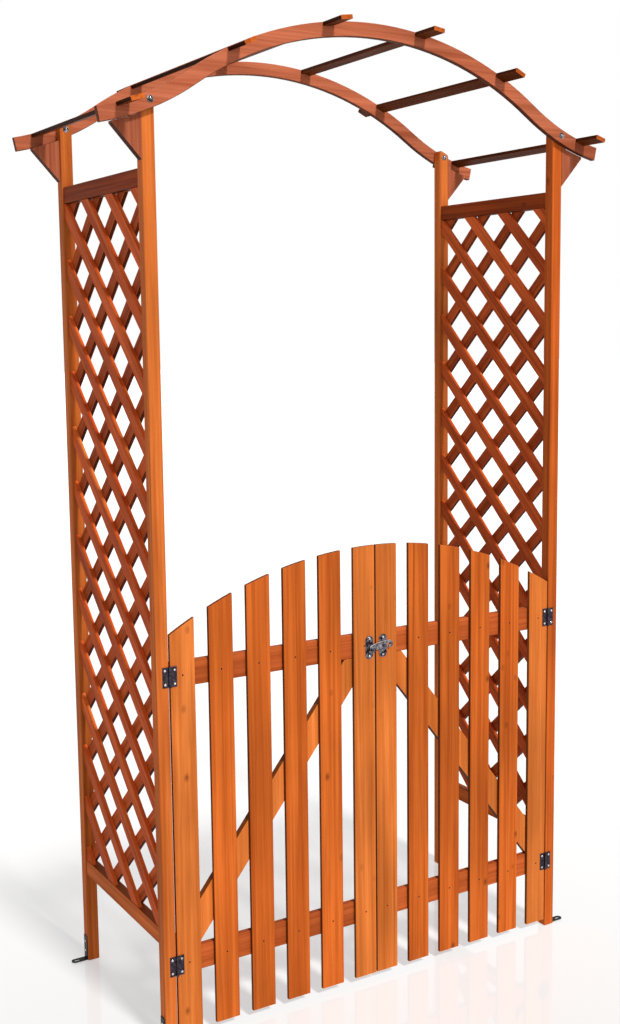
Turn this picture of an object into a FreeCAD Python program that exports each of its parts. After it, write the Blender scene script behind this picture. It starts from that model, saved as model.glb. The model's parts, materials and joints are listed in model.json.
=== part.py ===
import FreeCAD, Part
import math
import os

# Garden gate: a rose arch with two picket leaves and a lattice panel on each side.
# Millimetres. X is the width, Y the depth (front at -Y), Z up, origin on the ground
# below the centre of the arch.

V = FreeCAD.Vector

# ---- driving dimensions -------------------------------------------------------
POST = 28.0                 # square post section
HALF_W = 542.0              # centre to outer face of the posts
HALF_D = 245.0              # centre to front / rear face of the posts
POST_ROUND = 2.5

ARCH_T = 14.0               # arch board thickness along Y
ARCH_H = 31.0               # arch board height across the curve
ARCH_TOP = 2183.5           # top of the crown
ARCH_R = 770.0              # centre line radius of the crown
ARCH_TURN = 34.5            # degrees from the crown to the turning point
TAIL_R = 558.0              # centre line radius of the flared tails
TAIL_END = 12.0             # degrees left at the square-cut tail end

RUNG_W = 28.0
RUNG_T = 9.0
RUNG_OVER = 74.0            # rung end past the arch face
RUNG_X = (118.0, 344.0, 587.0)

GUSSET_T = 20.0
GUSSET_REACH = 61.0         # out from the post
GUSSET_DROP = 1867.0        # height of the lower corner

RAIL_W = 22.0               # side rail section
RAIL_H = 37.0
RAIL_LOW = 219.0            # underside of the lower side rail
RAIL_HIGH = 1817.0          # underside of the upper side rail
SLAT_W = 28.0
SLAT_T = 9.0
SLATS = 16                  # in each layer of a lattice panel
CELL_Y = 140.0              # lattice diamond, across and up
CELL_Z = 127.5
CELL_RISE = 8.5             # lowest crossings above the lower rail

PICKET_W = 57.0
PICKET_T = 9.0
PICKETS = 6                 # in each leaf
PICKET_BASE = 18.0
GATE_CROWN = 1043.0         # top of the curve over both leaves
GATE_R = 990.0
GAP = 3.0                   # at the posts and between the leaves
GATE_RAIL_H = 55.0
GATE_RAIL_T = 16.0
GATE_RAIL_Z = (175.0, 812.0)
RAIL_INSET = 4.0
BRACE_W = 57.0

HINGE_H = 44.0
HINGE_LEAF = 16.5           # plate width from the pin
HINGE_T = 1.5
BARREL_R = 3.0
PIN_R = 1.4
RUN = 0.05                  # radial running clearance on pins

SCREW_R = 1.5
SCREW_HEAD_R = 2.7
SCREW_HEAD_T = 1.2
SCREW_L = 16.0
NAIL_R = 1.0
NAIL_HEAD_R = 2.2
NAIL_HEAD_T = 0.8
NAIL_L = 21.0

BOLT_R = 3.0
BOLT_Z = 1983.0
WASHER_R = 7.0
WASHER_T = 1.2
NUT_R = 5.6
NUT_T = 5.0

ANCHOR_T = 2.0
ANCHOR_W = 18.0
ANCHOR_H = 60.0
ANCHOR_FOOT = 38.0
SLOT_R = 3.2
SLOT_L = 8.0                # straight part of the slot
ANCHOR_SCREW_Z = (22.0, 46.0)

LATCH_Z = 807.0
LATCH_H = 54.0
LATCH_W = 21.0
LATCH_T = 1.5
KEEPER_X = -17.0
LATCH_X = 20.0
LATCH_SCREW = 20.5          # screws above and below the middle
BOSS_R = 6.0
BOSS_T = 1.6
LEVER_T = 2.5
LEVER_TIP = -18.0
LEVER_LOW = LATCH_Z - 6.0   # straight underside that lies in the keeper
LEVER_HIGH = LATCH_Z + 10.5
HUB_R = 9.5
CURL_X = 36.0               # centre of the curled finger end
CURL_R = 8.5
CURL_HOLE_R = 4.2
PIVOT_R = 2.5
HOOK = (-14.0, -2.5)        # keeper hook, out past the plate towards the lever

FRONT = -HALF_D
GATE_BACK = FRONT + PICKET_T
INNER = HALF_W - POST
PANEL_LOW = RAIL_LOW + RAIL_H
ARCH_CZ = ARCH_TOP - ARCH_H / 2 - ARCH_R
TURN = math.radians(ARCH_TURN)
TAIL_CX = (ARCH_R + TAIL_R) * math.sin(TURN)
TAIL_CZ = ARCH_CZ + (ARCH_R + TAIL_R) * math.cos(TURN)
PIN_X = INNER - GAP / 2
PIN_Y = FRONT - BARREL_R
PITCH = (INNER - 1.5 * GAP - PICKET_W) / (PICKETS - 1)
SIDES = {"left": -1.0, "right": 1.0}
ENDS = {"front": -1.0, "rear": 1.0}


# ---- helpers ------------------------------------------------------------------
def box(x0, x1, y0, y1, z0, z1):
    """Box between two corners given in any order."""
    xs, ys, zs = sorted((x0, x1)), sorted((y0, y1)), sorted((z0, z1))
    return Part.makeBox(xs[1] - xs[0], ys[1] - ys[0], zs[1] - zs[0], V(xs[0], ys[0], zs[0]))


def rod(radius, length, start, direction):
    return Part.makeCylinder(radius, length, start, direction)


def along(shape, axis):
    """Straight edges of a shape that run along one axis."""
    found = []
    for edge in shape.Edges:
        if isinstance(edge.Curve, Part.Line):
            step = edge.Vertexes[-1].Point.sub(edge.Vertexes[0].Point)
            if abs(abs(step.normalize().dot(axis)) - 1.0) < 1e-6:
                found.append(edge)
    return found


def eased(shape, axis, radius):
    """Shape with its edges along an axis rounded."""
    return shape.makeFillet(radius, along(shape, axis))


def plate_xz(points, y0, y1):
    """Flat board with an XZ outline, between two Y planes."""
    loop = [V(x, y0, z) for x, z in points]
    face = Part.Face(Part.makePolygon(loop + loop[:1]))
    return face.extrude(V(0, y1 - y0, 0))


def mirrored(shape):
    return shape.mirror(V(0, 0, 0), V(1, 0, 0))


def sided(shape, side):
    """A shape drawn on the right, moved to the named side."""
    return mirrored(shape) if SIDES[side] < 0 else shape


def carve(shape, tools):
    return shape.cut(Part.makeCompound(tools)) if tools else shape


def save(name, solids):
    """Write one node, a single solid or a group of separate solids."""
    group = solids if isinstance(solids, list) else [solids]
    parts = [solid for shape in group for solid in shape.Solids]
    shape = parts[0] if len(parts) == 1 else Part.makeCompound(parts)
    shape.exportStep(os.path.join("parts", name + ".step"))


# ---- fasteners ----------------------------------------------------------------
def screw(seat, direction, length=SCREW_L):
    """Pan-head screw whose head sits on `seat`, driven along `direction`."""
    head = rod(SCREW_HEAD_R, SCREW_HEAD_T, seat - direction * SCREW_HEAD_T, direction)
    rim = [edge for edge in head.Edges if (edge.CenterOfMass - seat).dot(direction) < -1.0]
    head = head.makeFillet(0.7, rim)
    return head.fuse(rod(SCREW_R, length, seat, direction)).removeSplitter()


def nail(x, z):
    """Picket nail: flat head flush in the picket face."""
    seat = V(x, FRONT, z)
    back = V(0, 1, 0)
    head = rod(NAIL_HEAD_R, NAIL_HEAD_T, seat, back)
    return head.fuse(rod(NAIL_R, NAIL_L, seat, back)).removeSplitter()


def hexagon(radius, thick, start, direction):
    """Hexagonal prism along Y."""
    points = []
    for k in range(6):
        turn = math.radians(60 * k + 30)
        points.append(start + V(radius * math.cos(turn), 0, radius * math.sin(turn)))
    return Part.Face(Part.makePolygon(points + points[:1])).extrude(direction * thick)


def arch_bolt_stations():
    """Seat of each bolt head, the drive direction and the clamped length."""
    stations = []
    for sign in SIDES.values():
        x = sign * (HALF_W - POST / 2)
        stations.append((V(x, FRONT - ARCH_T, BOLT_Z), V(0, 1, 0)))
        stations.append((V(x, HALF_D - POST, BOLT_Z), V(0, 1, 0)))
    return stations


def bolt_set(seat, drive):
    """Domed bolt, its two washers and its nut."""
    grip = POST + ARCH_T
    top = seat - drive * WASHER_T
    dome = Part.makeSphere(5.6, top + drive * 2.2, V(0, 0, 1))
    dome = dome.common(rod(5.2, 6.0, top - drive * 6.0, drive))
    bolt = dome.fuse(rod(BOLT_R, grip + 2 * WASHER_T + NUT_T + 2.0, top, drive)).removeSplitter()
    far = seat + drive * (grip + WASHER_T)
    washers = []
    for start in (top, seat + drive * grip):
        disc = rod(WASHER_R, WASHER_T, start, drive)
        washers.append(disc.cut(rod(BOLT_R, WASHER_T, start, drive)))
    nut = hexagon(NUT_R, NUT_T, far, drive).cut(rod(BOLT_R, NUT_T, far, drive))
    return bolt, washers, nut


def bolt_bores():
    return [rod(BOLT_R + 0.2, POST + ARCH_T, seat, drive) for seat, drive in arch_bolt_stations()]


# ---- arches, rungs, gussets ---------------------------------------------------
def crown_point(offset, turn):
    """Point on the crown, `offset` above its centre line."""
    reach = ARCH_R + offset
    return reach * math.sin(turn), ARCH_CZ + reach * math.cos(turn)


def tail_point(offset, turn):
    """Point on the right tail, `offset` above its centre line."""
    reach = TAIL_R - offset
    return TAIL_CX - reach * math.sin(turn), TAIL_CZ - reach * math.cos(turn)


def arc(y, points):
    return Part.Arc(*[V(x, y, z) for x, z in points]).toShape()


def arch_edge(offset, y):
    """Three arcs of one long edge, left tail to right tail."""
    end = math.radians(TAIL_END)
    half = (TURN + end) / 2
    tail = [tail_point(offset, turn) for turn in (TURN, half, end)]
    other = [(-x, z) for x, z in reversed(tail)]
    crown = [crown_point(offset, turn) for turn in (-TURN, 0.0, TURN)]
    return [arc(y, other), arc(y, crown), arc(y, tail)]


def arch_board(y0):
    """Curved board of one arch with its back or front face on y0."""
    upper = arch_edge(ARCH_H / 2, y0)
    lower = arch_edge(-ARCH_H / 2, y0)
    corners = []
    for edges in (upper, lower):
        corners.append((edges[0].Vertexes[0].Point, edges[2].Vertexes[-1].Point))
    ends = [Part.makeLine(corners[0][k], corners[1][k]) for k in (0, 1)]
    wire = Part.Wire(Part.__sortEdges__(upper + lower + ends))
    board = Part.Face(wire).extrude(V(0, ARCH_T, 0))
    rims = [edge for edge in board.Edges if isinstance(edge.Curve, Part.Circle)]
    return board.makeFillet(1.5, rims)


def rung_pose(x):
    """Top centre and slope angle of a rung set into the arch at x."""
    reach = abs(x)
    if reach < ARCH_R * math.sin(TURN):
        turn = math.asin(reach / (ARCH_R + ARCH_H / 2))
        point = crown_point(ARCH_H / 2, turn)
    else:
        turn = math.asin((TAIL_CX - reach) / (TAIL_R - ARCH_H / 2))
        point = tail_point(ARCH_H / 2, turn)
    return math.copysign(point[0], x), point[1], math.copysign(math.degrees(turn), x)


def rung_bar(x, top, ease):
    """Rung at x from its underside up to `top` above its upper face."""
    px, pz, turn = rung_pose(x)
    reach = HALF_D + ARCH_T + RUNG_OVER
    bar = box(-RUNG_W / 2, RUNG_W / 2, -reach, reach, -RUNG_T, top)
    bar = eased(bar, V(0, 1, 0), ease) if ease else bar
    bar.rotate(V(0, 0, 0), V(0, 1, 0), turn)
    bar.translate(V(px, 0, pz))
    return bar


def rung(x):
    return rung_bar(x, 0.0, 1.2)


def rung_notch(x):
    """Room for a rung, open at the top of the arch."""
    return rung_bar(x, 8.0, 0.0)


def rung_stations():
    return sorted([-x for x in RUNG_X] + list(RUNG_X))


def under_arch(x):
    """Height of the arch underside at x on the right tail."""
    reach = TAIL_R + ARCH_H / 2
    return TAIL_CZ - math.sqrt(reach ** 2 - (TAIL_CX - x) ** 2)


def gusset(side, end):
    """Triangular bracket on the outer side of a post, top edge along the arch."""
    tip = HALF_W + GUSSET_REACH
    steps = [HALF_W + GUSSET_REACH * k / 6 for k in range(7)]
    points = [(x, under_arch(x)) for x in steps]
    points += [(tip, under_arch(tip) - 4.0), (HALF_W, GUSSET_DROP)]
    face = ENDS[end] * HALF_D
    return sided(plate_xz(points, face, face - ENDS[end] * GUSSET_T), side)


# ---- posts and side panels ----------------------------------------------------
def arch_top(x):
    reach = TAIL_R - ARCH_H / 2
    return TAIL_CZ - math.sqrt(reach ** 2 - (TAIL_CX - x) ** 2)


def post_blank(end):
    """Post with a slanted, rounded top that stays just below the arch edge."""
    y0 = ENDS[end] * HALF_D
    top = [(INNER, arch_top(INNER) - 2.5), (HALF_W, arch_top(HALF_W) - 2.5)]
    blank = plate_xz([(INNER, 0), (HALF_W, 0), top[1], top[0]], y0, y0 - ENDS[end] * POST)
    ridge = [edge for edge in along(blank, V(0, 1, 0)) if edge.CenterOfMass.z > 1000]
    ridge.sort(key=lambda edge: edge.CenterOfMass.x)
    blank = blank.makeFillet(5.0, ridge[:1])
    ridge = [edge for edge in along(blank, V(0, 1, 0)) if edge.CenterOfMass.x > HALF_W - 0.1]
    ridge = [edge for edge in ridge if edge.CenterOfMass.z > 1000]
    blank = blank.makeFillet(9.0, ridge)
    tall = [edge for edge in along(blank, V(0, 0, 1)) if edge.Length > 500]
    return blank.makeFillet(POST_ROUND, tall)


def side_rail(side, z0):
    middle = HALF_W - POST / 2
    y1 = HALF_D - POST
    rail = box(middle - RAIL_W / 2, middle + RAIL_W / 2, -y1, y1, z0, z0 + RAIL_H)
    return sided(eased(rail, V(0, 1, 0), 1.5), side)


def lattice(side, layer):
    """One layer of diagonal slats; the inner layer lies towards the passage."""
    half = HALF_D - POST
    middle = HALF_W - POST / 2
    x0 = middle - SLAT_T if layer == "inner" else middle
    frame = box(x0, x0 + SLAT_T, -half, half, PANEL_LOW, RAIL_HIGH)
    turn = math.degrees(math.atan2(CELL_Z, CELL_Y)) * layer_lean(side, layer)
    low = PANEL_LOW + CELL_RISE - 1.5 * CELL_Z
    slats = []
    for k in range(SLATS):
        slat = box(x0, x0 + SLAT_T, -HALF_W, HALF_W, -SLAT_W / 2, SLAT_W / 2)
        slat.rotate(V(x0, 0, 0), V(1, 0, 0), turn)
        slat.translate(V(0, 0, low + k * CELL_Z))
        slats.append(sided(slat.common(frame), side))
    return slats


def layer_lean(side, layer):
    """+1 for slats rising towards the rear, -1 for slats falling."""
    outer = 1.0 if side == "left" else -1.0
    return outer if layer == "outer" else -outer


# ---- ground anchors -----------------------------------------------------------
def anchor_screws(y):
    return [screw(V(HALF_W + ANCHOR_T, y, z), V(-1, 0, 0)) for z in ANCHOR_SCREW_Z]


def anchor(y):
    """Bent strap: upright on the post side, slotted foot with a round end."""
    half = ANCHOR_W / 2
    x1 = HALF_W + ANCHOR_FOOT
    strap = box(HALF_W, HALF_W + ANCHOR_T, y - half, y + half, 0, ANCHOR_H)
    foot = box(HALF_W, x1 - half, y - half, y + half, 0, ANCHOR_T)
    nose = rod(half, ANCHOR_T, V(x1 - half, y, 0), V(0, 0, 1))
    bracket = strap.fuse([foot, nose]).removeSplitter()
    slot_x = x1 - half - SLOT_L
    slot = box(slot_x, slot_x + SLOT_L, y - SLOT_R, y + SLOT_R, 0, ANCHOR_T)
    tools = [slot] + anchor_screws(y)
    for x in (slot_x, slot_x + SLOT_L):
        tools.append(rod(SLOT_R, ANCHOR_T, V(x, y, 0), V(0, 0, 1)))
    return carve(bracket, tools)


# ---- hinges -------------------------------------------------------------------
def hinge_screw_points(toward_post):
    """Screw seats on the right-hand hinge plates, two per plate."""
    reach = HINGE_LEAF - 5.5
    x = PIN_X + reach if toward_post else PIN_X - reach
    return [V(x, FRONT - HINGE_T, z + dz) for z in GATE_RAIL_Z for dz in (-15.0, 15.0)]


def hinge_screws(toward_post):
    return [screw(seat, V(0, 1, 0)) for seat in hinge_screw_points(toward_post)]


def hinge_plate(z, toward_post):
    """Right-hand plate with its barrel knuckles: two on the post, one on the leaf."""
    sign = 1.0 if toward_post else -1.0
    third = HINGE_H / 3
    half = HINGE_H / 2
    plate = box(PIN_X, PIN_X + sign * HINGE_LEAF, FRONT - HINGE_T, FRONT, z - half, z + half)
    barrel = rod(BARREL_R, HINGE_H, V(PIN_X, PIN_Y, z - HINGE_H / 2), V(0, 0, 1))
    blank = plate.fuse(barrel).removeSplitter()
    reach = BARREL_R + 0.4
    cuts = []
    if toward_post:
        spans = [(z - third / 2 - 0.15, z + third / 2 + 0.15)]
    else:
        spans = [(z - HINGE_H, z - third / 2 + 0.15), (z + third / 2 - 0.15, z + HINGE_H)]
    for z0, z1 in spans:
        cuts.append(box(PIN_X - reach, PIN_X + reach, PIN_Y - reach, FRONT, z0, z1))
    cuts.append(rod(PIN_R + RUN, 2 * HINGE_H, V(PIN_X, PIN_Y, z - HINGE_H), V(0, 0, 1)))
    cuts += hinge_screws(toward_post)
    return carve(blank, cuts)


def hinge_pin(z):
    """Pin with a small button on both ends."""
    base = V(PIN_X, PIN_Y, z - HINGE_H / 2)
    up = V(0, 0, 1)
    pin = rod(PIN_R, HINGE_H, base, up)
    buttons = [rod(2.2, 0.8, base - up * 0.8, up), rod(2.2, 0.8, base + up * HINGE_H, up)]
    return pin.fuse(buttons).removeSplitter()


# ---- gate leaves (drawn on the right) -----------------------------------------
def picket_x(k):
    """Centre of picket k, counted from the hinge side."""
    return INNER - GAP - PICKET_W / 2 - (k - 1) * PITCH


def leaf_nails():
    return [nail(picket_x(k + 1), z) for k in range(PICKETS) for z in GATE_RAIL_Z]


def picket(k):
    x = picket_x(k)
    blank = box(x - PICKET_W / 2, x + PICKET_W / 2, FRONT, GATE_BACK, PICKET_BASE, GATE_CROWN)
    dome = rod(GATE_R, 2 * PICKET_T, V(0, FRONT - PICKET_T / 2, GATE_CROWN - GATE_R), V(0, 1, 0))
    blank = blank.common(dome)
    return eased(blank, V(0, 0, 1), 1.5)


def gate_rail(z):
    half = GATE_RAIL_H / 2
    x0, x1 = GAP / 2 + RAIL_INSET, INNER - GAP - RAIL_INSET
    rail = box(x0, x1, GATE_BACK, GATE_BACK + GATE_RAIL_T, z - half, z + half)
    return eased(rail, V(1, 0, 0), 1.5)


def brace():
    """Diagonal board, from low on the hinge side to the top of the meeting side."""
    x0, x1 = GAP / 2 + RAIL_INSET, INNER - GAP - RAIL_INSET
    z0 = GATE_RAIL_Z[0] + GATE_RAIL_H / 2
    z1 = GATE_RAIL_Z[1] - GATE_RAIL_H / 2
    foot = x1 - 48.0
    slope = math.atan2(z1 - z0, foot - x0)
    rise = BRACE_W / math.cos(slope)
    shift = BRACE_W / math.sin(slope)
    points = [(x0, z1), (foot, z0), (x1, z0), (x1, z0 + rise - 48.0 * math.tan(slope)), (x0 + shift, z1)]
    return plate_xz(points, GATE_BACK, GATE_BACK + GATE_RAIL_T)


# ---- latch --------------------------------------------------------------------
def latch_screws(x):
    seats = [V(x, FRONT - LATCH_T, LATCH_Z + dz) for dz in (-LATCH_SCREW, LATCH_SCREW)]
    return [screw(seat, V(0, 1, 0)) for seat in seats]


def latch_blank(x):
    """Oblong plate with round ends."""
    half = LATCH_W / 2
    reach = LATCH_H / 2 - half
    y0 = FRONT - LATCH_T
    plate = box(x - half, x + half, y0, FRONT, LATCH_Z - reach, LATCH_Z + reach)
    caps = [rod(half, LATCH_T, V(x, y0, LATCH_Z + s * reach), V(0, 1, 0)) for s in (-1, 1)]
    return plate.fuse(caps).removeSplitter()


def latch_keeper():
    """Keeper: a plate with a lipped hook, open at the top, that the lever drops into."""
    x0, x1 = HOOK
    back = FRONT - LATCH_T
    lip = lever_front() - 0.6
    floor = LEVER_LOW - 0.3
    shelf = box(x0, x1, lip - 1.5, back, floor - 2.5, floor)
    hook = box(x0, x1, lip - 1.5, lip, floor - 2.5, floor + 4.0)
    tab = box(KEEPER_X, x1, back, FRONT, floor - 7.0, floor)
    plate = latch_blank(KEEPER_X).fuse([shelf, hook, tab]).removeSplitter()
    return carve(plate, latch_screws(KEEPER_X))


def latch_base():
    """Base plate with the raised boss the lever turns on."""
    boss = rod(BOSS_R, BOSS_T, V(LATCH_X, FRONT - LATCH_T - BOSS_T, LATCH_Z), V(0, 1, 0))
    plate = latch_blank(LATCH_X).fuse(boss).removeSplitter()
    bore = rod(PIVOT_R, LATCH_T + BOSS_T, V(LATCH_X, FRONT, LATCH_Z), V(0, -1, 0))
    return carve(plate, latch_screws(LATCH_X) + [bore])


def lever_front():
    return FRONT - LATCH_T - BOSS_T - 0.1 - LEVER_T


def latch_pivot():
    """Pivot pin with a button in front of the lever."""
    head = lever_front() - 0.1
    pin = rod(PIVOT_R, FRONT - head, V(LATCH_X, head, LATCH_Z), V(0, 1, 0))
    button = rod(4.2, 1.6, V(LATCH_X, head - 1.6, LATCH_Z), V(0, 1, 0))
    return pin.fuse(button).removeSplitter()


def lever_blade():
    """Bowed blade: straight underside, arched top and a round tip."""
    y0 = lever_front()
    x1 = CURL_X
    tip_z = LEVER_LOW + 4.5
    top = [(LEVER_TIP + 1.5, tip_z + 4.0), (4.0, LEVER_HIGH - 1.5), (x1, LEVER_HIGH + 1.0)]
    nose = [(LEVER_TIP + 3.0, LEVER_LOW), (LEVER_TIP, tip_z), top[0]]
    corners = [V(x1, y0, LEVER_HIGH + 1.0), V(x1, y0, LEVER_HIGH - 3.3)]
    corners += [V(LATCH_X, y0, LEVER_HIGH - 8.0), V(LATCH_X, y0, LEVER_LOW)]
    corners += [V(LEVER_TIP + 3.0, y0, LEVER_LOW)]
    sides = [Part.makeLine(a, b) for a, b in zip(corners, corners[1:])]
    wire = Part.Wire(Part.__sortEdges__([arc(y0, top), arc(y0, nose)] + sides))
    return Part.Face(wire).extrude(V(0, LEVER_T, 0))


def latch_lever():
    """Bowed lever on a round hub, its finger end curled down and back."""
    y0 = lever_front()
    across = V(0, 1, 0)
    hub = rod(HUB_R, LEVER_T, V(LATCH_X, y0, LATCH_Z), across)
    centre = V(CURL_X, y0, LEVER_HIGH + 1.0 - CURL_R)
    ring = rod(CURL_R, LEVER_T, centre, across).cut(rod(CURL_HOLE_R, LEVER_T, centre, across))
    mouth = box(CURL_X - CURL_R, CURL_X - 3.0, y0, y0 + LEVER_T, LATCH_Z - 12.0, centre.z)
    lever = lever_blade().fuse([hub, ring.cut(mouth)]).removeSplitter()
    return lever.cut(rod(PIVOT_R + RUN, LEVER_T, V(LATCH_X, y0, LATCH_Z), across))


# ---- nodes --------------------------------------------------------------------
def write_posts():
    bores = bolt_bores()
    for side in SIDES:
        for end in ENDS:
            post = carve(sided(post_blank(end), side), bores)
            y = ENDS[end] * (HALF_D - POST / 2)
            tools = anchor_screws(y)
            if end == "front":
                tools += hinge_screws(True)
            save("%s_%s_post" % (side, end), carve(post, [sided(tool, side) for tool in tools]))


def write_arches():
    notches = [rung_notch(x) for x in rung_stations()]
    for end in ENDS:
        y0 = FRONT - ARCH_T if end == "front" else HALF_D
        board = carve(arch_board(y0), notches + bolt_bores())
        save("%s_arch" % end, board)
    for number, x in enumerate(rung_stations(), 1):
        save("rung_%d" % number, rung(x))
    for side in SIDES:
        for end in ENDS:
            save("%s_%s_gusset" % (side, end), gusset(side, end))


def write_panels():
    for side in SIDES:
        save("%s_panel_lower_rail" % side, side_rail(side, RAIL_LOW))
        save("%s_panel_upper_rail" % side, side_rail(side, RAIL_HIGH))
        for layer in ("outer", "inner"):
            save("%s_lattice_%s" % (side, layer), lattice(side, layer))


def write_frame_hardware():
    bolts, washers, nuts = [], [], []
    for seat, drive in arch_bolt_stations():
        bolt, pair, nut = bolt_set(seat, drive)
        bolts.append(bolt)
        washers += pair
        nuts.append(nut)
    save("arch_bolts", bolts)
    save("arch_washers", washers)
    save("arch_nuts", nuts)
    anchors, fixings, plates, screws, pins = [], [], [], [], []
    for side in SIDES:
        for sign in ENDS.values():
            y = sign * (HALF_D - POST / 2)
            anchors.append(sided(anchor(y), side))
            fixings += [sided(item, side) for item in anchor_screws(y)]
        screws += [sided(item, side) for item in hinge_screws(True)]
        for z in GATE_RAIL_Z:
            plates.append(sided(hinge_plate(z, True), side))
            pins.append(sided(hinge_pin(z), side))
    save("ground_anchors", anchors)
    save("anchor_screws", fixings)
    save("post_hinge_plates", plates)
    save("post_hinge_screws", screws)
    save("hinge_pins", pins)


def write_leaf(side):
    """Pickets, rails, brace, nails and hinge plates of one leaf."""
    latch = latch_screws(KEEPER_X if side == "left" else LATCH_X)
    screws = [sided(item, side) for item in hinge_screws(False)] + latch
    nails = [sided(item, side) for item in leaf_nails()]
    bores = screws + nails
    if side == "right":
        bores = bores + [latch_pivot()]
    for k in range(1, PICKETS + 1):
        save("%s_picket_%d" % (side, k), carve(sided(picket(k), side), bores))
    for name, z in zip(("lower", "upper"), GATE_RAIL_Z):
        save("%s_gate_%s_rail" % (side, name), carve(sided(gate_rail(z), side), bores))
    save("%s_brace" % side, sided(brace(), side))
    save("%s_leaf_screws" % side, screws)
    save("%s_leaf_nails" % side, nails)
    save("%s_leaf_hinge_plates" % side, [sided(hinge_plate(z, False), side) for z in GATE_RAIL_Z])


def main():
    os.makedirs("parts", exist_ok=True)
    write_posts()
    write_arches()
    write_panels()
    write_frame_hardware()
    for side in SIDES:
        write_leaf(side)
    save("latch_keeper", latch_keeper())
    save("latch_base", latch_base())
    save("latch_pivot", latch_pivot())
    save("latch_lever", latch_lever())


main()
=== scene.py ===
import json
import math
import random

import bpy
from mathutils import Matrix, Vector

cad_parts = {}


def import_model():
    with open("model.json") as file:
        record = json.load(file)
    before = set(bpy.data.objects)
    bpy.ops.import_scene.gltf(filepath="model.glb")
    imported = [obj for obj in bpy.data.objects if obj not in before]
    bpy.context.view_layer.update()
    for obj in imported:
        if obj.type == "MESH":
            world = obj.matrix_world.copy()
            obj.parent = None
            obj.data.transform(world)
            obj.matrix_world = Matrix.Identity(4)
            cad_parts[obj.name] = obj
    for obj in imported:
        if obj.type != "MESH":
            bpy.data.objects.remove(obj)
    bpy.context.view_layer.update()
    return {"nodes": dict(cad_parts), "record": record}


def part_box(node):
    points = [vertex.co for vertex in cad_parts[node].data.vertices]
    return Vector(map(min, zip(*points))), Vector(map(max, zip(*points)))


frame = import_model()
random.seed(20)

nodes = frame["nodes"]
slots = {row["node"]: row["material_slot"] for row in frame["record"]["subparts"]}


# ---- node helpers -------------------------------------------------------------
MIX_FACTOR, MIX_A, MIX_B, MIX_RESULT = 0, 6, 7, 2     # sockets of a colour Mix node
NO_TURN = (0, 0, 0)


def rgba(colour):
    """Four-part colour from a grey level, a colour, or a colour with alpha."""
    value = tuple(colour) if hasattr(colour, "__len__") else (colour,) * 3
    return value if len(value) == 4 else value + (1.0,)


def is_output(value):
    """True for a (node, output) pair, False for a number or a colour."""
    return isinstance(value, tuple) and hasattr(value[0], "outputs")


class Graph:
    """One material's node tree. Values are passed between helpers as (node, output) pairs."""

    def __init__(self, name):
        self.material = bpy.data.materials.new(name)
        self.material.use_nodes = True
        self.tree = self.material.node_tree
        self.tree.nodes.clear()
        self.shader = self.add("ShaderNodeBsdfPrincipled")
        surface = self.add("ShaderNodeOutputMaterial")
        self.feed((self.shader, "BSDF"), surface, "Surface")

    def add(self, kind, **values):
        node = self.tree.nodes.new(kind)
        for key, value in values.items():
            setattr(node, key, value)
        return node

    def feed(self, value, node, socket):
        """Set one input from a (node, output) pair or a constant."""
        if is_output(value):
            self.tree.links.new(value[0].outputs[value[1]], node.inputs[socket])
        else:
            node.inputs[socket].default_value = value

    def set(self, **values):
        """Constants on the surface shader; underscores stand for spaces."""
        for key, value in values.items():
            self.shader.inputs[key.replace("_", " ")].default_value = value

    def place(self, scale, offset=(0, 0, 0), turn=NO_TURN):
        """Object coordinates shifted, turned to the piece, then stretched."""
        mapping = self.add("ShaderNodeMapping", vector_type="TEXTURE")
        self.feed((self.add("ShaderNodeTexCoord"), "Object"), mapping, "Vector")
        self.feed(tuple(1.0 / value for value in scale), mapping, "Scale")
        self.feed(offset, mapping, "Location")
        self.feed(turn, mapping, "Rotation")
        return mapping, "Vector"

    def noise(self, vector, detail, rough, distort=0.0):
        node = self.add("ShaderNodeTexNoise")
        self.feed(vector, node, "Vector")
        self.feed(1.0, node, "Scale")
        self.feed(detail, node, "Detail")
        self.feed(rough, node, "Roughness")
        self.feed(distort, node, "Distortion")
        return node, "Fac"

    def ramp(self, value, stops):
        node = self.add("ShaderNodeValToRGB")
        ends = node.color_ramp.elements
        while len(ends) > 1:
            ends.remove(ends[-1])
        ends[0].position, ends[0].color = stops[0][0], rgba(stops[0][1])
        for position, colour in stops[1:]:
            ends.new(position).color = rgba(colour)
        self.feed(value, node, "Fac")
        return node, "Color"

    def mix(self, kind, factor, a, b):
        node = self.add("ShaderNodeMix", data_type="RGBA", blend_type=kind)
        self.feed(factor, node, MIX_FACTOR)
        self.feed(a if is_output(a) else rgba(a), node, MIX_A)
        self.feed(b if is_output(b) else rgba(b), node, MIX_B)
        return node, MIX_RESULT

    def math(self, kind, a, b=0.0, c=0.0):
        node = self.add("ShaderNodeMath", operation=kind)
        for socket, value in enumerate((a, b, c)):
            self.feed(value, node, socket)
        return node, 0

    def facing(self):
        """Object-space normal, split into X, Y and Z."""
        split = self.add("ShaderNodeSeparateXYZ")
        self.feed((self.add("ShaderNodeTexCoord"), "Normal"), split, "Vector")
        return split

    def edges(self, radius, reach):
        """Mask that is 1 along outer and inner edges and 0 on open faces."""
        bevel = self.add("ShaderNodeBevel", samples=4)
        self.feed(radius, bevel, "Radius")
        agree = self.add("ShaderNodeVectorMath", operation="DOT_PRODUCT")
        self.feed((bevel, "Normal"), agree, 0)
        self.feed((self.add("ShaderNodeNewGeometry"), "Normal"), agree, 1)
        return self.ramp((agree, "Value"), [(reach, 1.0), (0.99, 0.0)])

    def bump(self, height, strength, distance):
        node = self.add("ShaderNodeBump")
        self.feed(strength, node, "Strength")
        self.feed(distance, node, "Distance")
        self.feed(height, node, "Height")
        self.feed((node, "Normal"), self.shader, "Normal")


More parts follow.
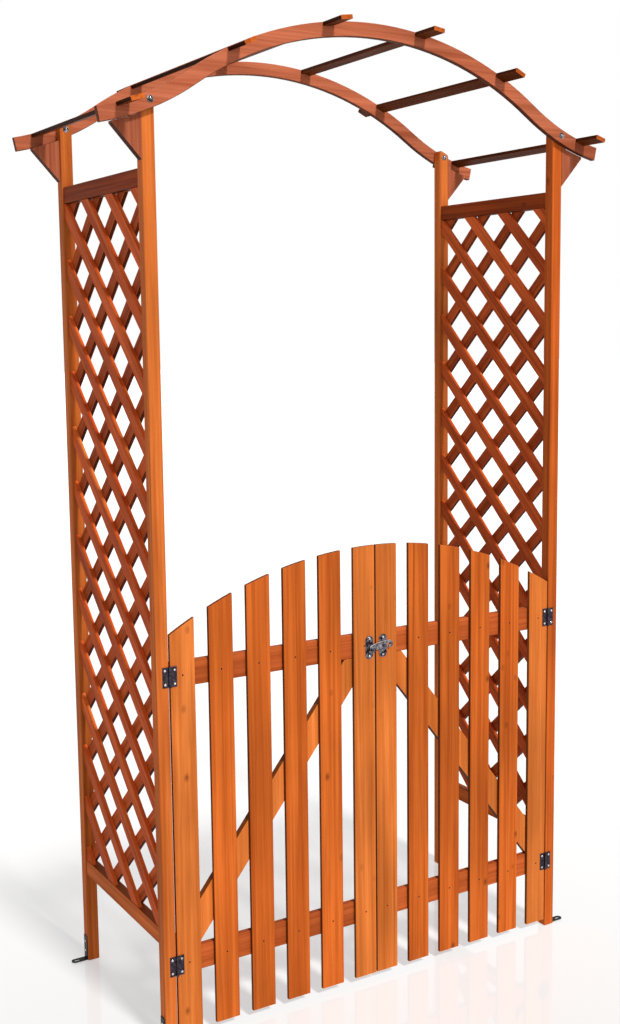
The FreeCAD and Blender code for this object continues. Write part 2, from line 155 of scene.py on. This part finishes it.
def random_shift(seed):
    """Offset of a piece's pattern, so that no two pieces share their grain."""
    rng = random.Random(seed)
    return tuple(rng.uniform(-4, 4) for _ in range(3))


# ---- timber -------------------------------------------------------------------
# repeats per metre, along and across the grain
BANDS = (1.1, 60.0)
STREAKS = (4.0, 210.0)
PORES = (9.0, 900.0)
BLOTCHES = (2.2, 6.0)
KNOTS = (15.0, 24.0)

KNOT_COLOUR = (0.050, 0.011, 0.004)
KNOT_DEPTH = 0.62
WOOD_EDGE = 0.0016          # radius of the rubbed edges, worn lighter and painted with a highlight, metres
LIGHTEST = 0.90             # no stained face reflects more than this


def grain_scale(axis, along, across):
    """Mapping scale that stretches a pattern along one axis."""
    return tuple(along if axis == name else across for name in "xyz")


def stain(g, broad, fine, blotch, light, deep):
    """Early and late wood bands, with fine streaks and wide blotches over them."""
    middle = [(a + b) / 2 for a, b in zip(light, deep)]
    base = g.ramp(broad, [(0.30, deep), (0.48, middle), (0.62, light)])
    streak = g.ramp(fine, [(0.32, 0.60), (0.50, 0.95), (0.68, 1.15)])
    patch = g.ramp(blotch, [(0.34, 0.74), (0.66, 1.18)])
    return g.mix("MULTIPLY", 0.80, g.mix("MULTIPLY", 0.48, base, streak), patch)


def knot_masks(g, vector):
    """Rounded eyes stretched along the grain: all of them, and the few that are dark."""
    cells = g.add("ShaderNodeTexVoronoi", feature="F1")
    g.feed(vector, cells, "Vector")
    g.feed(1.0, cells, "Scale")
    g.feed(1.0, cells, "Randomness")
    eye = g.ramp((cells, "Distance"), [(0.0, 1.0), (0.07, 0.95), (0.10, 0.45), (0.15, 0.35), (0.18, 0.0)])
    chosen = g.ramp((cells, "Color"), [(0.68, 0.0), (0.72, 1.0)])
    return eye, g.math("MULTIPLY", eye, chosen)


def face_shade(g, colour, side, top):
    """Painted shade on undersides; top scales the upper faces (painted light above 1, darker end grain
    below 1) and side the faces across the gate (painted shade below 1, painted light above 1).
    """
    facing = g.facing()
    up = g.math("MULTIPLY_ADD", (facing, "Z"), 0.5, 0.5)
    shade = g.ramp(up, [(0.12, 0.22), (0.36, 0.45), (0.50, 1.0), (0.74, 1.0), (0.86, top)])
    across = g.ramp(g.math("ABSOLUTE", (facing, "X")), [(0.40, 1.0), (0.85, side)])
    return g.mix("MULTIPLY", 1.0, g.mix("MULTIPLY", 1.0, colour, shade), across)


def timber(name, axis, light, deep, seed, knots=1.0, turn=NO_TURN, wear_and_highlight=0.5, side=0.8, top=1.3):
    """Stained softwood whose grain runs along one axis of the object."""
    g = Graph(name)
    shift = random_shift(seed)

    def pattern(repeats, detail, rough, distort=0.0, lean=turn):
        return g.noise(g.place(grain_scale(axis, *repeats), shift, lean), detail, rough, distort)

    broad = pattern(BANDS, 4.0, 0.55, 1.1)
    fine = pattern(STREAKS, 4.0, 0.65, 0.3)
    pores = pattern(PORES, 2.0, 0.70)
    blotch = pattern(BLOTCHES, 3.0, 0.50, lean=NO_TURN)
    eye, dark_eye = knot_masks(g, g.place(grain_scale(axis, *KNOTS), shift, turn))

    colour = stain(g, broad, fine, blotch, light, deep)
    colour = g.mix("MIX", g.math("MULTIPLY", dark_eye, KNOT_DEPTH * knots), colour, KNOT_COLOUR)
    # painted shade and light set by the way each face points
    colour = face_shade(g, colour, side, top)

    # rubbed edges, worn lighter and lit by a painted highlight
    rim = g.math("MULTIPLY", g.edges(WOOD_EDGE, 0.86), wear_and_highlight)
    colour = g.mix("MIX", rim, colour, [min(1.0, c * 1.5 + 0.02) for c in light])
    g.feed(g.mix("DARKEN", 1.0, colour, LIGHTEST), g.shader, "Base Color")

    g.feed(g.ramp(fine, [(0.3, 0.52), (0.7, 0.36)]), g.shader, "Roughness")
    g.set(Specular_IOR_Level=0.10, IOR=1.2)

    relief = g.math("ADD", fine, g.math("MULTIPLY", pores, 0.6))
    relief = g.math("SUBTRACT", relief, g.math("MULTIPLY", eye, 0.5 * knots))
    g.bump(relief, 0.30, 0.0010)
    return g.material


# ---- metals -------------------------------------------------------------------
CLOUDS = (150.0,) * 3       # patches of plating per metre
METAL_EDGE = 0.0006
RUST = (0.16, 0.055, 0.02)
# colour of the painted highlight on upward faces
GLINT_WHITE = (0.90, 0.88, 0.90)


def metal(name, dark, bright, rough, seed, grit=260.0, rust=0.0, edge_wear_and_highlight=0.6, glint=0.0):
    """Plated or burnished steel, its edges worn by handling and lit by a painted highlight."""
    g = Graph(name)
    shift = random_shift(seed)
    cloud = g.noise(g.place(CLOUDS, shift), 4.0, 0.6)
    grain = g.noise(g.place((grit,) * 3, shift), 3.0, 0.6)

    colour = g.ramp(cloud, [(0.42, dark), (0.64, bright)])
    # painted highlight along the edges, together with the edges worn by handling
    rim = g.math("MULTIPLY", g.edges(METAL_EDGE, 0.84), edge_wear_and_highlight)
    colour = g.mix("MIX", rim, colour, [min(1.0, c * 1.5 + 0.3 * edge_wear_and_highlight) for c in bright])
    if rust:
        colour = g.mix("MIX", g.ramp(cloud, [(0.60, 0.0), (0.74, rust)]), colour, RUST)
    g.set(Metallic=1.0)
    if glint:
        # painted highlight on the thin upper edges: upward faces turn near white and less metallic
        upper = g.ramp((g.facing(), "Z"), [(0.35, 0.0), (0.60, glint)])
        colour = g.mix("MIX", upper, colour, GLINT_WHITE)
        g.feed(g.math("SUBTRACT", 1.0, upper), g.shader, "Metallic")
    g.feed(colour, g.shader, "Base Color")

    g.feed(g.ramp(grain, [(0.3, rough + 0.10), (0.7, rough - 0.06)]), g.shader, "Roughness")
    g.bump(grain, 0.20, 0.0003)
    return g.material


# ---- stains and steels --------------------------------------------------------
# light and deep colour of each stain
ORANGE = ((0.535, 0.120, 0.0190), (0.340, 0.062, 0.0085))
POST = ((0.535, 0.136, 0.0275), (0.360, 0.076, 0.0130))
DEEP_POST = ((0.520, 0.108, 0.0170), (0.330, 0.056, 0.0080))
PALE = ((0.640, 0.178, 0.0380), (0.460, 0.110, 0.0180))
RED = ((0.520, 0.112, 0.0270), (0.325, 0.057, 0.0125))
SLAT = ((0.500, 0.088, 0.0180), (0.275, 0.038, 0.0072))
ROSE = ((0.430, 0.121, 0.0590), (0.290, 0.069, 0.0295))
DARK = ((0.330, 0.054, 0.0080), (0.170, 0.022, 0.0034))

METALS = {
    "hinge_steel": dict(dark=(0.028, 0.022, 0.031), bright=(0.075, 0.062, 0.080), rough=0.34),
    "latch_steel": dict(dark=(0.012, 0.010, 0.014), bright=(0.20, 0.18, 0.21), rough=0.20,
                        grit=420.0, edge_wear_and_highlight=0.9),
    "lever_steel": dict(dark=(0.060, 0.054, 0.062), bright=(0.36, 0.34, 0.37), rough=0.16,
                        grit=420.0, edge_wear_and_highlight=1.0, glint=0.9),
    "zinc_steel": dict(dark=(0.030, 0.030, 0.034), bright=(0.60, 0.60, 0.62), rough=0.20),
    "screw_steel": dict(dark=(0.45, 0.44, 0.44), bright=(0.85, 0.84, 0.84), rough=0.20),
    "nail_steel": dict(dark=(0.020, 0.008, 0.004), bright=(0.060, 0.026, 0.014), rough=0.5,
                       rust=0.4),
    "anchor_steel": dict(dark=(0.008, 0.008, 0.008), bright=(0.034, 0.035, 0.035), rough=0.42,
                         rust=0.1),
}

PALE_PICKETS = ("left_picket_1", "left_picket_6", "right_picket_6", "right_picket_1")
SUNLIT_LATTICE = ("left_lattice_outer", "right_lattice_inner")
SLAT_LEAN = math.radians(42.3)
SLAT_TOP = 2.6              # painted highlight on the upper edges of the slats
LONG_TOP = 1.3              # painted light on the upper faces of lying pieces
END_TOP = 0.55              # end grain of upright pieces holds more stain


def grain_axis(node):
    """Longest side of the node's box, which is the way its grain runs."""
    low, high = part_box(node)
    size = high - low
    return "xyz"[max(range(3), key=lambda k: size[k])]


def tone_of(node):
    """Stain of one piece, and how much its side faces keep of it: painted shade below 1, painted light
    above 1.
    """
    if "upper_rail" in node and "panel" in node:
        return DARK, 1.0
    if "panel_lower_rail" in node:
        return ORANGE, 1.25
    # painted light on the side faces of the near lattice layers, painted shade on the far ones
    if node in SUNLIT_LATTICE:
        return SLAT, 1.25
    if "lattice" in node:
        return SLAT, 0.95
    # painted shade: the rungs' side faces keep little of their stain
    if node.startswith("rung"):
        return ORANGE, 0.16
    if node == "right_front_post":
        return DEEP_POST, 1.0
    if "post" in node:
        return POST, 1.15
    if "arch" in node or "gusset" in node:
        return ROSE, 0.6
    if node in PALE_PICKETS:
        return PALE, 0.35
    if "picket" in node:
        return ORANGE, 0.35
    if "brace" in node:
        return PALE, 0.5
    return RED, 0.6


def slat_turn(node):
    """Lean of a lattice layer's slats, to lay the grain along them."""
    rising = node.startswith("left") == node.endswith("outer")
    return (SLAT_LEAN if rising else -SLAT_LEAN, 0, 0)


def wood_of(node, seed):
    """Timber for one piece, a little lighter or darker than its neighbours."""
    (light, deep), side = tone_of(node)
    dim = random.uniform(0.82, 0.95)
    light = [c * dim for c in light]
    deep = [c * dim for c in deep]
    name = "wood_" + node
    if "lattice" in node:
        return timber(name, "y", light, deep, seed, knots=0.5, turn=slat_turn(node), wear_and_highlight=0.8,
                      side=side, top=SLAT_TOP)
    axis = grain_axis(node)
    return timber(name, axis, light, deep, seed, side=side, top=END_TOP if axis == "z" else LONG_TOP)


def dress_frame():
    """A timber of its own for each wooden piece, and one steel for each metal slot."""
    steels = {}
    for seed, node in enumerate(sorted(nodes), 1):
        slot = "lever_steel" if node == "latch_lever" else slots[node]
        if slot not in METALS:
            material = wood_of(node, seed)
        else:
            if slot not in steels:
                steels[slot] = metal(slot, seed=seed, **METALS[slot])
            material = steels[slot]
        nodes[node].data.materials.clear()
        nodes[node].data.materials.append(material)


# ---- floor, light, camera -----------------------------------------------------
FLOOR_HALF = 40.0
FLOOR_DROP = 0.0015         # keeps the floor clear of the feet
WHITE = (1.0, 1.0, 1.0, 1)

KEY_AHEAD = (-0.06, 0.74, -0.67)
KEY_STRENGTH = 3.5
KEY_SPREAD = 9.0            # degrees
KEY_COLOUR = (1.0, 0.985, 0.955)

EYE_AT = (-1.6100, -2.7365, 1.5424)
EYE_PITCH, EYE_ROLL, EYE_YAW = -0.1269, -0.0072, -0.5626
LENS_MM = 46.50
LENS_SHIFT = (-0.0488, -0.0193)


def floor():
    mesh = bpy.data.meshes.new("studio_floor")
    corners = [(x * FLOOR_HALF, y * FLOOR_HALF, 0) for x, y in ((-1, -1), (1, -1), (1, 1), (-1, 1))]
    mesh.from_pydata(corners, [], [(0, 1, 2, 3)])
    piece = bpy.data.objects.new("studio_floor", mesh)
    piece.location = (0, 0, -FLOOR_DROP)
    bpy.context.scene.collection.objects.link(piece)
    g = Graph("studio_floor")
    g.set(Base_Color=(0.46, 0.46, 0.46, 1), Roughness=0.05, Specular_IOR_Level=0.5, IOR=1.9,
          Emission_Color=WHITE, Emission_Strength=0.49)
    mesh.materials.append(g.material)


def world():
    """White cove all round the horizon, dim overhead so that shapes keep their shading."""
    studio = bpy.data.worlds.new("studio")
    studio.use_nodes = True
    tree = studio.node_tree
    background = tree.nodes["Background"]
    coords = tree.nodes.new("ShaderNodeTexCoord")
    height = tree.nodes.new("ShaderNodeSeparateXYZ")
    level = tree.nodes.new("ShaderNodeValToRGB")
    ends = level.color_ramp.elements
    ends[0].position, ends[0].color = 0.32, rgba(1.0)
    ends[1].position, ends[1].color = 0.55, rgba(0.10)
    tree.links.new(coords.outputs["Generated"], height.inputs["Vector"])
    tree.links.new(height.outputs["Z"], level.inputs["Fac"])
    tree.links.new(level.outputs["Color"], background.inputs["Color"])
    background.inputs["Strength"].default_value = 1.0
    bpy.context.scene.world = studio


def key_light():
    light = bpy.data.lights.new("key", "SUN")
    light.energy = KEY_STRENGTH
    light.angle = math.radians(KEY_SPREAD)
    light.color = KEY_COLOUR
    lamp = bpy.data.objects.new("key", light)
    lamp.rotation_euler = Vector(KEY_AHEAD).to_track_quat("-Z", "Y").to_euler()
    bpy.context.scene.collection.objects.link(lamp)


def camera():
    """Eye-height camera, left of the front, turned and tilted at the gate."""
    data = bpy.data.cameras.new("camera")
    data.sensor_fit = "AUTO"
    data.sensor_width = 36.0
    data.lens = LENS_MM
    data.shift_x, data.shift_y = LENS_SHIFT
    data.clip_end = 60.0
    ahead = Vector((-math.sin(EYE_YAW) * math.cos(EYE_PITCH),
                    math.cos(EYE_YAW) * math.cos(EYE_PITCH), math.sin(EYE_PITCH)))
    level = Vector((math.cos(EYE_YAW), math.sin(EYE_YAW), 0.0))
    upright = level.cross(ahead)
    right = level * math.cos(EYE_ROLL) + upright * math.sin(EYE_ROLL)
    up = upright * math.cos(EYE_ROLL) - level * math.sin(EYE_ROLL)
    eye = bpy.data.objects.new("camera", data)
    eye.matrix_world = Matrix.Translation(EYE_AT) @ Matrix((right, up, -ahead)).transposed().to_4x4()
    bpy.context.scene.collection.objects.link(eye)
    bpy.context.scene.camera = eye


dress_frame()
floor()
world()
key_light()
camera()
bpy.context.scene.view_settings.view_transform = "Standard"
